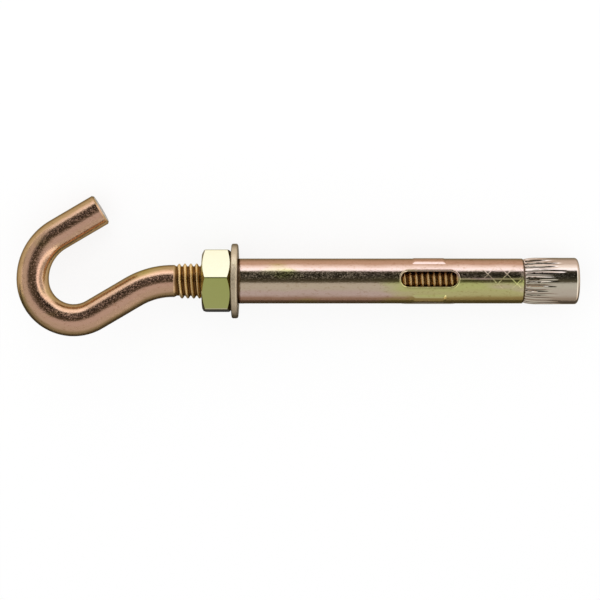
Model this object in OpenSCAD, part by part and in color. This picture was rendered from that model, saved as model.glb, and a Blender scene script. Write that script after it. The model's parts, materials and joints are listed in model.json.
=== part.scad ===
// Hook anchor bolt for a 10 mm hole: a bent hook on a threaded shank, with a hex nut, a washer,
// a rolled expansion sleeve and a ribbed cone nut on the far end.
// Sizes in millimetres, angles in degrees. The anchor's own axes: X along the shank from the hook to the
// cone nut, Y in the hook's plane towards its tip, zero on the face of the washer that meets the wall.

/* [Hook] */
// Diameter of the plain bent rod
rod_d = 6.9; // [6:0.05:7.3]
// Radius of the neck bend, to the rod's middle
neck_r = 16.6; // [12:0.1:22]
// Angle of the neck bend
neck_angle = 30.4; // [20:0.1:40]
// Straight run between the neck bend and the loop
neck_run = 9.6; // [6:0.1:14]
// Radius of the tight part of the loop, to the rod's middle
loop_r = 8.7; // [7.5:0.1:11]
// Angle of the tight part of the loop
loop_angle = 117; // [100:1:130]
// Radius of the open part of the loop, to the rod's middle
mouth_r = 10.9; // [8:0.1:13]
// Angle of the open part of the loop
mouth_angle = 63; // [50:1:75]
// Straight run at the tip
tip_run = 10.7; // [7:0.1:13]
// Broken edge around the sheared tip
tip_chamfer = 0.35; // [0.1:0.05:0.8]
// How far the rod swells where the bending tool held it, at both ends of a bend
bend_mark = 0.03; // [0.03:0.01:0.08]
// Half the length of the rod held there
bend_hold = 0.2; // [0.1:0.05:0.25]

/* [Shank] */
// Distance from the wall to the start of the neck bend
neck_at = 13.95; // [12:0.05:18]
// Length of plain rod left between the neck bend and the thread
plain_run = 0.35; // [0.2:0.05:1.5]
// Outer diameter of the thread
thread_d = 7.5; // [7.35:0.05:7.65]
// How far the shank's end stays back inside the cone nut
end_recess = 0.8; // [0.3:0.1:2]
// Chamfer on the shank's end
end_chamfer = 0.6; // [0.3:0.1:1]

/* [Nut] */
// Width across the nut's flats
nut_flats = 12.7; // [12:0.1:13]
// Height of the nut
nut_h = 6.2; // [5:0.1:6.8]
// Turn of the nut's upper edge away from the hook's face
nut_turn = 4.65; // [0:0.05:30]
// Diameter of the flat ring left on each face of the nut
nut_face_d = 11.9; // [11:0.1:12]
// Slope of the nut's corner chamfers
nut_slope = 30; // [20:1:40]
// Depth of the countersink at each end of the nut's bore
nut_sink = 0.4; // [0.2:0.1:0.8]

/* [Washer] */
// Outer diameter of the washer
washer_d = 15.9; // [14:0.1:18]
// Thickness of the washer
washer_t = 1.4; // [1.1:0.1:2]
// Diameter of the washer's hole
washer_bore = 8.4; // [8:0.1:9]
// Rounding of the washer's edges
washer_edge = 0.35; // [0.1:0.05:0.5]

/* [Sleeve] */
// Outer diameter of the sleeve
sleeve_d = 9.6; // [9.5:0.05:9.7]
// Thickness of the rolled sheet
sleeve_wall = 0.7; // [0.55:0.05:0.8]
// Length of the sleeve
sleeve_len = 60.4; // [54:0.1:70]
// Number of windows around the sleeve
window_count = 3; // [2:1:3]
// Length of a window
window_len = 12.2; // [9:0.1:15]
// Width of a window
window_w = 3.6; // [2.5:0.1:4.2]
// Distance from the wall to a window's near end
window_at = 34.3; // [24:0.1:38]
// Turn of the first window away from the hook's face
window_turn = 4.7; // [0:0.1:30]
// Width of the slits and of the rolled seam
slit_w = 0.25; // [0.15:0.05:0.5]
// Length of a raised pad
pad_len = 7.5; // [5:0.1:10]
// Width of a raised pad
pad_w = 3.2; // [2.4:0.1:3.4]
// Height of a raised pad
pad_h = 0.22; // [0.1:0.01:0.24]
// Rounding of a raised pad's corners
pad_corner = 0.6; // [0.4:0.1:0.9]

/* [Cone nut] */
// Largest diameter of the cone nut
cone_d = 9.9; // [9.7:0.05:9.95]
// Length of the cone nut that stands out of the sleeve
cone_len = 11.7; // [9:0.1:15]
// Diameter of the cone nut at the sleeve's end
cone_face_d = 8.8; // [8.7:0.05:8.9]
// Length of the rounded shoulder behind the sleeve's end
shoulder_len = 3; // [2:0.1:4]
// Length of the nose inside the sleeve's end
nose_len = 0.5; // [0.4:0.05:0.8]
// Rounding of the far edge
cone_edge = 0.7; // [0.5:0.1:1.4]
// Number of grooves around the cone nut
groove_count = 30; // [20:1:32]
// Radius of a groove's round bottom
groove_r = 0.42; // [0.3:0.02:0.5]
// Depth of a groove where it leaves the sleeve
groove_start = 0.1; // [0.05:0.01:0.2]
// Length of the longest groove
groove_len = 7.4; // [5:0.1:8]
// Difference in length from one groove to the next
groove_step = 0.8; // [0:0.1:1.2]

/* [Fits] */
// Gap all round between the thread and the parts screwed on it
screw_gap = 0.05; // [0.02:0.01:0.1]
// Gap between the cone nut's nose and the sleeve's end
nose_gap = 0.04; // [0.02:0.01:0.1]

/* [Hidden] */
$fn = 64;
sleeve_bore = sleeve_d - 2 * sleeve_wall;
nut_bore = thread_d + 2 * screw_gap;
thread_from = -neck_at + plain_run;
cone_end = sleeve_len + cone_len;
shank_end = cone_end - end_recess;
// How far the plain rod runs on inside the thread
rod_lap = 1;
window_step = 360 / window_count;
pad_at = window_at + (window_len - pad_len) / 2;
// Run of the hook from the thread to its tip: [straight, turn, radius], where a positive turn bends
// away from the tip
RUN = [
  [plain_run + rod_lap, neck_angle, neck_r],
  [neck_run, -loop_angle, loop_r],
  [0, -mouth_angle, mouth_r],
  [tip_run, 0, 0]
];

// Place and heading after a straight run, after a bend, and at the start of run i
function ahead(p, run) = [p[0] + run * cos(p[2]), p[1] + run * sin(p[2]), p[2]];
function turned(p, a, r) =
  let (s = sign(a))
  [p[0] + s * r * (sin(p[2] + a) - sin(p[2])), p[1] - s * r * (cos(p[2] + a) - cos(p[2])), p[2] + a];
function bend_place(i) = ahead(run_place(i), RUN[i][0]);
function run_place(i) =
  i == 0
    ? [thread_from + rod_lap, 0, 180]
    : turned(bend_place(i - 1), RUN[i - 1][1], RUN[i - 1][2]);

// Points of a rounded corner in a half section, from one angle to another
function round_corner(x, y, r, a0, a1, n = 6) =
  [for (i = [0 : n])
    let (a = a0 + (a1 - a0) * i / n)
    [x + r * cos(a), y + r * sin(a)]
  ];

function within(v) = max(-1, min(1, v));

// Rest on a flat surface: on the washer's rim, the cone nut's rim and the hook's tip
tip_place = ahead(run_place(len(RUN) - 1), tip_run - tip_chamfer);
rest_a = cone_end + washer_edge - cone_edge;
rest_b = (washer_d - cone_d) / 2 - washer_edge + cone_edge;
rest_pitch = asin(within((washer_edge - cone_edge) / norm([rest_a, rest_b]))) + atan2(rest_b, rest_a);
rest_z = washer_edge * sin(rest_pitch) - (washer_d / 2 - washer_edge) * cos(rest_pitch) - washer_edge;
function tip_drop(roll) =
  cos(tip_place[2]) * sin(rest_pitch) + sin(tip_place[2]) * sin(roll) * cos(rest_pitch);
function tip_reach(roll) = rod_d / 2 * sqrt(max(0, 1 - pow(tip_drop(roll), 2)));
function next_roll(roll) =
  let (drop = -tip_place[0] * sin(rest_pitch) - tip_reach(roll) - rest_z)
  asin(within(drop / (tip_place[1] * cos(rest_pitch))));
function settle(roll, n) = n == 0 ? roll : settle(next_roll(roll), n - 1);
rest_roll = settle(20, 12);

module lay_down() {
  rotate([0, rest_pitch, 0])
    rotate([-rest_roll, 0, 0])
      children();
}

// A round bar along X
module bar(d, run) {
  rotate([0, 90, 0])
    cylinder(d = d, h = run);
}

// A round bar along X that changes from one diameter to another
module taper(d1, d2, run) {
  rotate([0, 90, 0])
    cylinder(d1 = d1, d2 = d2, h = run);
}

// A ring around X from a drawn half section, its points as [along X, from the axis]
module turned_ring(points) {
  rotate([90, 0, 90])
    rotate_extrude()
      polygon([for (p = points) [p[1], p[0]]]);
}

module at_place(p) {
  translate([p[0], p[1], 0])
    rotate([0, 0, p[2]])
      children();
}

// One bend of the rod, starting along X, less the length held at each end
module bent_bar(a, r) {
  side = sign(a);
  held = bend_hold / r * 180 / PI;
  translate([0, side * r, 0])
    rotate([0, 0, side > 0 ? held - 90 : 90 + a + held])
      rotate_extrude(angle = abs(a) - 2 * held)
        translate([r, 0])
          circle(d = rod_d);
}

// The hook's rod: straight runs and bends, joined where the bending tool held them
module hook_rod() {
  last = len(RUN) - 1;
  for (i = [0 : last - 1]) {
    if (RUN[i][0] > 0)
      at_place(run_place(i))
        bar(rod_d, RUN[i][0]);
    at_place(bend_place(i))
      sphere(r = rod_d / 2 + bend_mark);
    at_place(bend_place(i))
      bent_bar(RUN[i][1], RUN[i][2]);
    if (RUN[i + 1][0] > 0)
      at_place(run_place(i + 1))
        sphere(r = rod_d / 2 + bend_mark);
  }
  at_place(run_place(last))
    turned_ring([
      [0, 0],
      [0, rod_d / 2],
      [tip_run - tip_chamfer, rod_d / 2],
      [tip_run, rod_d / 2 - tip_chamfer],
      [tip_run, 0]
    ]);
}

module hook_bolt() {
  color("#b8954a")
    lay_down() {
      hook_rod();
      turned_ring([
        [thread_from, 0],
        [thread_from, thread_d / 2],
        [shank_end - end_chamfer, thread_d / 2],
        [shank_end, thread_d / 2 - end_chamfer],
        [shank_end, 0]
      ]);
    }
}

module hex_nut() {
  corner_d = nut_flats / cos(30);
  reach = (corner_d - nut_flats) / 2;
  rise = (corner_d / 2 + reach - nut_face_d / 2) * tan(nut_slope);
  color("#a9a468")
    lay_down()
      translate([-washer_t - nut_h, 0, 0])
        difference() {
          intersection() {
            rotate([-nut_turn, 0, 0])
              rotate([0, 90, 0])
                cylinder(d = corner_d, h = nut_h, $fn = 6);
            turned_ring([
              [0, 0],
              [0, nut_face_d / 2],
              [rise, corner_d / 2 + reach],
              [nut_h - rise, corner_d / 2 + reach],
              [nut_h, nut_face_d / 2],
              [nut_h, 0]
            ]);
          }
          translate([-1, 0, 0])
            bar(nut_bore, nut_h + 2);
          taper(nut_bore + 2 * nut_sink, nut_bore, nut_sink);
          translate([nut_h - nut_sink, 0, 0])
            taper(nut_bore, nut_bore + 2 * nut_sink, nut_sink);
        }
}

module washer() {
  r = washer_d / 2 - washer_edge;
  color("#a0956f")
    lay_down()
      turned_ring(concat(
        [[-washer_t, washer_bore / 2]],
        [[0, washer_bore / 2]],
        round_corner(-washer_edge, r, washer_edge, 0, 90),
        round_corner(washer_edge - washer_t, r, washer_edge, 90, 180)
      ));
}

// A long round-ended bar that cuts or marks the wall of the sleeve, reaching out from the axis
module slot_bar(at, run, w) {
  linear_extrude(height = sleeve_d) {
    translate([at + w / 2, -w / 2])
      square([run - w, w]);
    translate([at + w / 2, 0])
      circle(d = w);
    translate([at + run - w / 2, 0])
      circle(d = w);
  }
}

// A block on a pad's outline with rounded corners, reaching out from the axis
module pad_block() {
  x = pad_len / 2 - pad_corner;
  y = pad_w / 2 - pad_corner;
  translate([pad_at + pad_len / 2, 0, 0])
    linear_extrude(height = sleeve_d)
      polygon(concat(
        round_corner(x, y, pad_corner, 0, 90, 4),
        round_corner(-x, y, pad_corner, 90, 180, 4),
        round_corner(-x, -y, pad_corner, 180, 270, 4),
        round_corner(x, -y, pad_corner, 270, 360, 4)
      ));
}

// One pressed-out pad: the sheet stands out by its height and is hollow behind
module pad() {
  intersection() {
    translate([pad_at - 1, 0, 0])
      difference() {
        bar(sleeve_d + 2 * pad_h, pad_len + 2);
        translate([-1, 0, 0])
          bar(sleeve_bore + sleeve_wall, pad_len + 4);
      }
    pad_block();
  }
}

module pad_hollow() {
  intersection() {
    translate([pad_at, 0, 0])
      bar(sleeve_bore + 2 * pad_h, pad_len);
    slot_bar(pad_at + sleeve_wall / 2, pad_len - sleeve_wall, pad_w - sleeve_wall);
  }
}

module sleeve() {
  color("#a79c6c")
    lay_down() {
      difference() {
        bar(sleeve_d, sleeve_len);
        translate([-1, 0, 0])
          bar(sleeve_bore, sleeve_len + 2);
        translate([sleeve_len - nose_len, 0, 0])
          taper(sleeve_bore, cone_face_d, nose_len);
        for (i = [0 : window_count - 1])
          rotate([i * window_step - window_turn, 0, 0]) {
            slot_bar(window_at, window_len, window_w);
            translate([window_at + window_len / 2, -slit_w / 2, 0])
              cube([sleeve_len, slit_w, sleeve_d]);
            rotate([window_step / 2, 0, 0])
              pad_hollow();
          }
        rotate([window_step - window_turn, 0, 0])
          translate([-1, -slit_w / 2, 0])
            cube([sleeve_len, slit_w, sleeve_d]);
      }
      for (i = [0 : window_count - 1])
        rotate([(i + 0.5) * window_step - window_turn, 0, 0])
          pad();
    }
}

// Height of the cone nut's shoulder above its axis, x from the sleeve's end: a quarter of an ellipse
function shoulder(x) =
  let (rise = (cone_d - cone_face_d) / 2)
  cone_face_d / 2 + rise * sqrt(max(0, 1 - pow(1 - x / shoulder_len, 2)));

module cone_nut() {
  nose_d = sleeve_bore - 2 * nose_gap;
  r = cone_d / 2 - cone_edge;
  color("#b79a80")
    lay_down()
      translate([sleeve_len, 0, 0])
        difference() {
          turned_ring(concat(
            [[-nose_len, nut_bore / 2], [-nose_len, nose_d / 2], [0, cone_face_d / 2 - nose_gap]],
            [for (i = [1 : 8]) [i / 8 * shoulder_len, shoulder(i / 8 * shoulder_len)]],
            round_corner(cone_len - cone_edge, r, cone_edge, 90, 0, 8),
            [[cone_len, nut_bore / 2 + nut_sink], [cone_len - nut_sink, nut_bore / 2]]
          ));
          for (i = [0 : groove_count - 1])
            rotate([i * 360 / groove_count, 0, 0])
              groove(groove_len - (i * 7 % 3) * groove_step);
        }
}

// One groove, sunk where it leaves the sleeve and running out on the full diameter
module groove(run) {
  low = cone_face_d / 2 - groove_start + groove_r;
  rise = atan2(cone_d / 2 + groove_r - low, run);
  translate([0, 0, low])
    rotate([0, -rise, 0])
      translate([-nose_len / 2, 0, 0])
        bar(2 * groove_r, run + 1);
}

hook_bolt();
hex_nut();
washer();
sleeve();
cone_nut();
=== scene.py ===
"""Hook anchor bolt: bent hook, rolled thread, nut, washer, sleeve and cone nut in yellow zinc plating."""
import json
import logging
import math
from contextlib import contextmanager
from dataclasses import dataclass
from enum import Enum
from typing import Callable, Iterator, Sequence

import bpy
from mathutils import Matrix, Vector


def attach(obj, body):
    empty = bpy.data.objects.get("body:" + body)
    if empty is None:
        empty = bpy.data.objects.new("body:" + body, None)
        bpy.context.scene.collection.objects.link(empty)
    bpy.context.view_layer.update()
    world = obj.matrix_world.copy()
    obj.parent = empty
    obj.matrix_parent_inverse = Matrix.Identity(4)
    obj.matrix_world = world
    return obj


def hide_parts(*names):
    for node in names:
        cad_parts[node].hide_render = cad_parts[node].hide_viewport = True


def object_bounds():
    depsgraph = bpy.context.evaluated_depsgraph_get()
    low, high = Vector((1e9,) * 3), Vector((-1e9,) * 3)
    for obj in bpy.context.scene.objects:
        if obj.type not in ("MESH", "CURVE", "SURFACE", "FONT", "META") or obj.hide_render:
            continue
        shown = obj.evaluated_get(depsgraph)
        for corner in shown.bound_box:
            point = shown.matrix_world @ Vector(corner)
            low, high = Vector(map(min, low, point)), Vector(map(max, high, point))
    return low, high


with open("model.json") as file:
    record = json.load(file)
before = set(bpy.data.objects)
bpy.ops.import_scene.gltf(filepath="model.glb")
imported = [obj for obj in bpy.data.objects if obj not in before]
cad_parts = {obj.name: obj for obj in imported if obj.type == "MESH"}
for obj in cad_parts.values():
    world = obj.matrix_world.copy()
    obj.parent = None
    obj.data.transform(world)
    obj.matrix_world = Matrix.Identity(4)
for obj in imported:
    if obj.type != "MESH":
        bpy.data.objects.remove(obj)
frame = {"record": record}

CAD_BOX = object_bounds()
LOG = logging.getLogger("hook_anchor")
# A piece is drawn in millimetres on the anchor's own axes until it is placed.
MM = 0.001
MERGE_MM = 1e-4
ROW_MM = 3.0
ALONG_SHANK = (0.0, math.pi / 2, 0.0)
Point = tuple[float, float]
Section = Sequence[Point]
Screen = tuple[int, int, int]
Colour = tuple[float, float, float, float]
Triple = tuple[float, float, float]


class Body(Enum):
    """The bodies that the anchor's pieces move with."""

    SLEEVE = "sleeve"
    BOLT = "bolt"
    NUT = "nut"


class Socket(Enum):
    """The kinds of socket on the node groups."""

    FLOAT = "NodeSocketFloat"
    VECTOR = "NodeSocketVector"
    COLOUR = "NodeSocketColor"


@dataclass(frozen=True)
class AnchorAxes:
    """The anchor's own axes as it lies: along the shank, to the hook's tip, and out of the hook's plane."""

    along: Vector
    tipward: Vector
    outward: Vector

    @classmethod
    def from_record(cls, record: dict) -> "AnchorAxes":
        """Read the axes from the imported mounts.

        Args:
            record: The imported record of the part.

        Returns:
            The three axes in the row's frame.
        """
        axis = {m["name"]: Vector(m["axis"]).normalized() for m in record["mounts"]}
        along, outward = axis["sleeve"], axis["hook"]
        return cls(along, outward.cross(along).normalized(), outward)

    @property
    def turn(self) -> Matrix:
        """The turn from the anchor's axes to the row's frame."""
        return Matrix((self.along, self.tipward, self.outward)).transposed()

    @property
    def to_row(self) -> Matrix:
        """Millimetres on the anchor's axes to metres in the row's frame."""
        return self.turn.to_4x4() @ Matrix.Scale(MM, 4)

    def point(self, along: float, tipward: float, outward: float) -> Vector:
        """A point given in millimetres on the anchor's axes, in the row's frame."""
        return self.to_row @ Vector((along, tipward, outward))


def clear_selection() -> None:
    """Leave edit mode and select nothing."""
    if bpy.context.object and bpy.context.object.mode != "OBJECT":
        bpy.ops.object.mode_set(mode="OBJECT")
    bpy.ops.object.select_all(action="DESELECT")


def choose(obj: bpy.types.Object) -> None:
    """Make one object the selected and active one.

    Args:
        obj: The object to choose.
    """
    clear_selection()
    obj.select_set(True)
    bpy.context.view_layer.objects.active = obj


def settle() -> bpy.types.Object:
    """Work the active object's place and turn into its mesh."""
    bpy.ops.object.transform_apply(location=True, rotation=True, scale=True)
    return bpy.context.object


@contextmanager
def editing(obj: bpy.types.Object) -> Iterator[None]:
    """Edit one object's mesh with everything in it selected.

    Args:
        obj: The object to edit.

    Yields:
        Nothing, while the object is in edit mode.
    """
    choose(obj)
    bpy.ops.object.mode_set(mode="EDIT")
    bpy.ops.mesh.select_all(action="SELECT")
    yield
    bpy.ops.object.mode_set(mode="OBJECT")


def close_up(obj: bpy.types.Object) -> None:
    """Merge doubles, fill open ends and turn all faces outwards.

    Args:
        obj: The mesh to close.
    """
    with editing(obj):
        bpy.ops.mesh.remove_doubles(threshold=MERGE_MM)
        bpy.ops.mesh.select_all(action="SELECT")
        bpy.ops.mesh.fill_holes(sides=0)
        bpy.ops.mesh.select_all(action="SELECT")
        bpy.ops.mesh.normals_make_consistent(inside=False)


def apply_modifier(obj: bpy.types.Object, kind: str, **values: object) -> None:
    """Add a modifier with the given values and apply it.

    Args:
        obj: The object to change.
        kind: The modifier's type.
        values: The modifier's settings by name.
    """
    choose(obj)
    modifier = obj.modifiers.new(kind.title(), kind)
    for name, value in values.items():
        setattr(modifier, name, value)
    bpy.ops.object.modifier_apply(modifier=modifier.name)


def cut_with(obj: bpy.types.Object, tool: bpy.types.Object, operation: str = "DIFFERENCE") -> None:
    """Cut one closed mesh with another and throw the tool away.

    Args:
        obj: The mesh that is cut.
        tool: The mesh that cuts it.
        operation: DIFFERENCE, INTERSECT or UNION.
    """
    apply_modifier(obj, "BOOLEAN", object=tool, operation=operation, solver="EXACT")
    bpy.data.objects.remove(tool, do_unlink=True)


def section_loop(name: str, points: Section) -> bpy.types.Object:
    """A ring of edges drawn as a half section, along X and out in Z.

    Args:
        name: The new object's name.
        points: Places along the axis and distances from it, in order around the section.

    Returns:
        The new object.
    """
    clear_selection()
    bpy.ops.mesh.primitive_circle_add(vertices=len(points), radius=1, fill_type="NOTHING")
    loop = bpy.context.object
    loop.name = name
    for vertex, (along, out) in zip(loop.data.vertices, points):
        vertex.co = (along, 0.0, out)
    return loop


def turn_ring(name: str, points: Section, steps: int) -> bpy.types.Object:
    """Spin a half section once around the shank.

    Args:
        name: The new object's name.
        points: The half section.
        steps: Faces around the ring.

    Returns:
        The closed ring.
    """
    ring = section_loop(name, points)
    with editing(ring):
        bpy.ops.mesh.spin(steps=steps, angle=2 * math.pi, center=(0, 0, 0), axis=(1, 0, 0))
    close_up(ring)
    return ring


def arc(along: float, out: float, radius: float, start: float, end: float, steps: int) -> list[Point]:
    """Points of a rounded corner in a half section.

    Args:
        along: The corner centre's place along the axis.
        out: The corner centre's distance from the axis.
        radius: The corner's radius.
        start: The first angle in degrees, 0 along the axis and 90 outwards.
        end: The last angle in degrees.
        steps: Number of chords.

    Returns:
        The points, first to last.
    """
    angles = [math.radians(start + (end - start) * i / steps) for i in range(steps + 1)]
    return [(along + radius * math.cos(a), out + radius * math.sin(a)) for a in angles]


def around(along: float, out: float, turn: float) -> Vector:
    """A point along the shank, at a distance from its axis and a turn around it."""
    return Vector((along, out * math.sin(turn), out * math.cos(turn)))


def spread(start: float, end: float, step: float) -> list[float]:
    """Evenly spaced places strictly between two ends."""
    count = max(1, round((end - start) / step))
    return [start + (end - start) * i / count for i in range(1, count)]


def smoothstep(low: float, high: float, value: float) -> float:
    """Zero below low, one above high, and smooth between."""
    t = min(1.0, max(0.0, (value - low) / (high - low)))
    return t * t * (3 - 2 * t)


def move_points(obj: bpy.types.Object, rule: Callable[[Vector], Vector]) -> None:
    """Move every vertex of a mesh by a rule.

    Args:
        obj: The mesh to shape.
        rule: Gives the new place of a point from its old one.
    """
    for vertex in obj.data.vertices:
        vertex.co = rule(vertex.co.copy())


def join(target: bpy.types.Object, others: Sequence[bpy.types.Object]) -> bpy.types.Object:
    """Join closed shells into one piece.

    Args:
        target: The piece that stays.
        others: The shells that become part of it.

    Returns:
        The joined piece.
    """
    choose(target)
    for other in others:
        other.select_set(True)
    bpy.ops.object.join()
    return target


def linear(value: int) -> float:
    """One screen value from 0 to 255, as the shader's own linear value."""
    share = value / 255
    return share / 12.92 if share <= 0.04045 else ((share + 0.055) / 1.055) ** 2.4


def srgb(red: int, green: int, blue: int) -> Colour:
    """A colour given in screen values, as the shader's own linear values."""
    return (linear(red), linear(green), linear(blue), 1.0)


def grey(level: float) -> Colour:
    """A plain grey of one linear level."""
    return (level, level, level, 1.0)


class NodeSheet:
    """A node tree with short calls for adding and linking nodes."""

    def __init__(self, tree: bpy.types.NodeTree) -> None:
        """Take over an empty node tree."""
        self.tree = tree

    def add(self, kind: str, **values: object) -> bpy.types.Node:
        """Add a node and set its properties.

        Args:
            kind: The node's type name.
            values: Properties of the node by name.

        Returns:
            The new node.
        """
        node = self.tree.nodes.new(kind)
        for name, value in values.items():
            setattr(node, name, value)
        return node

    def feed(self, socket: bpy.types.NodeSocket, value: object) -> None:
        """Link a socket to another one, or set it to a plain value.

        Args:
            socket: The socket that is fed.
            value: Another node's socket, or a number, vector or colour.
        """
        if isinstance(value, bpy.types.NodeSocket):
            self.tree.links.new(value, socket)
        else:
            socket.default_value = value

    def math(self, operation: str, *values: object, clamp: bool = False) -> bpy.types.NodeSocket:
        """A Math node.

        Args:
            operation: The operation's name.
            values: Its inputs, sockets or numbers.
            clamp: Whether the result stays between 0 and 1.

        Returns:
            The result's socket.
        """
        node = self.add("ShaderNodeMath", operation=operation, use_clamp=clamp)
        for socket, value in zip(node.inputs, values):
            self.feed(socket, value)
        return node.outputs[0]

    def times(self, first: object, second: object) -> bpy.types.NodeSocket:
        """The product of two values."""
        return self.math("MULTIPLY", first, second)

    def ramp(self, value: object, low: float, high: float) -> bpy.types.NodeSocket:
        """A smooth step of a value between two limits.

        Args:
            value: The value, a socket or a number.
            low: Where the step is still 0.
            high: Where the step has reached 1.

        Returns:
            The step's socket.
        """
        node = self.add("ShaderNodeMapRange", interpolation_type="SMOOTHSTEP")
        self.feed(node.inputs["Value"], value)
        node.inputs["From Min"].default_value = low
        node.inputs["From Max"].default_value = high
        return node.outputs["Result"]

    def blend(self, amount: object, first: object, second: object,
              mode: str = "MIX") -> bpy.types.NodeSocket:
        """Mix two colours.

        Args:
            amount: The second colour's share, a socket or a number.
            first: The first colour.
            second: The second colour.
            mode: The way of mixing.

        Returns:
            The mixed colour's socket.
        """
        node = self.add("ShaderNodeMix", data_type="RGBA", blend_type=mode)
        self.feed(node.inputs["Factor"], amount)
        self.feed(node.inputs["A"], first)
        self.feed(node.inputs["B"], second)
        return node.outputs["Result"]

    def on_axes(self, axes: AnchorAxes, metre: float) -> tuple[bpy.types.NodeSocket, bpy.types.Node]:
        """Turn Object coordinates onto the anchor's own axes.

        Args:
            axes: The anchor's axes.
            metre: What one metre counts.

        Returns:
            The place's socket, and the node that splits it.
        """
        source = self.add("ShaderNodeTexCoord")
        turn = self.add("ShaderNodeMapping")
        turn.inputs["Rotation"].default_value = axes.turn.transposed().to_euler("XYZ")
        turn.inputs["Scale"].default_value = (metre, metre, metre)
        self.feed(turn.inputs["Vector"], source.outputs["Object"])
        split = self.add("ShaderNodeSeparateXYZ")
        self.feed(split.inputs[0], turn.outputs["Vector"])
        return turn.outputs["Vector"], split


@dataclass(frozen=True)
class Mottle:
    """A noise field: how fine it is along each axis, where it starts, and its finer layers."""

    fine: Triple
    shift: Triple = (0.0, 0.0, 0.0)
    detail: float = 3.0
    rough: float = 0.5

    def read(self, sheet: NodeSheet, place: bpy.types.NodeSocket) -> bpy.types.NodeSocket:
        """Add the field to a sheet.

        Args:
            sheet: The sheet to add to.
            place: Where the field is read.

        Returns:
            A value around a half.
        """
        mapping = sheet.add("ShaderNodeMapping")
        sheet.feed(mapping.inputs["Vector"], place)
        mapping.inputs["Scale"].default_value = self.fine
        mapping.inputs["Location"].default_value = self.shift
        noise = sheet.add("ShaderNodeTexNoise")
        sheet.feed(noise.inputs["Vector"], mapping.outputs["Vector"])
        noise.inputs["Scale"].default_value = 1.0
        noise.inputs["Detail"].default_value = self.detail
        noise.inputs["Roughness"].default_value = self.rough
        return noise.outputs["Fac"]


Sockets = Sequence[tuple[str, Socket]]
GroupParts = tuple[NodeSheet, bpy.types.Node, bpy.types.Node]


def new_group(name: str, inputs: Sockets, outputs: Sockets) -> GroupParts:
    """Start a shader node group with named sockets.

    Args:
        name: The group's name.
        inputs: Names and kinds of the sockets that go in.
        outputs: Names and kinds of the sockets that come out.

    Returns:
        The group's sheet, its input node and its output node.
    """
    tree = bpy.data.node_groups.new(name, "ShaderNodeTree")
    for label, kind in inputs:
        tree.interface.new_socket(name=label, in_out="INPUT", socket_type=kind.value)
    for label, kind in outputs:
        tree.interface.new_socket(name=label, in_out="OUTPUT", socket_type=kind.value)
    sheet = NodeSheet(tree)
    return sheet, sheet.add("NodeGroupInput"), sheet.add("NodeGroupOutput")


def new_material(name: str) -> tuple[bpy.types.Material, NodeSheet]:
    """Start a material with an empty node tree.

    Args:
        name: The material's name.

    Returns:
        The material and its sheet.
    """
    material = bpy.data.materials.new(name)
    material.use_nodes = True
    material.node_tree.nodes.clear()
    return material, NodeSheet(material.node_tree)


def show(sheet: NodeSheet, surface: bpy.types.NodeSocket) -> None:
    """Make a shader the surface of its material."""
    sheet.feed(sheet.add("ShaderNodeOutputMaterial").inputs["Surface"], surface)


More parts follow.
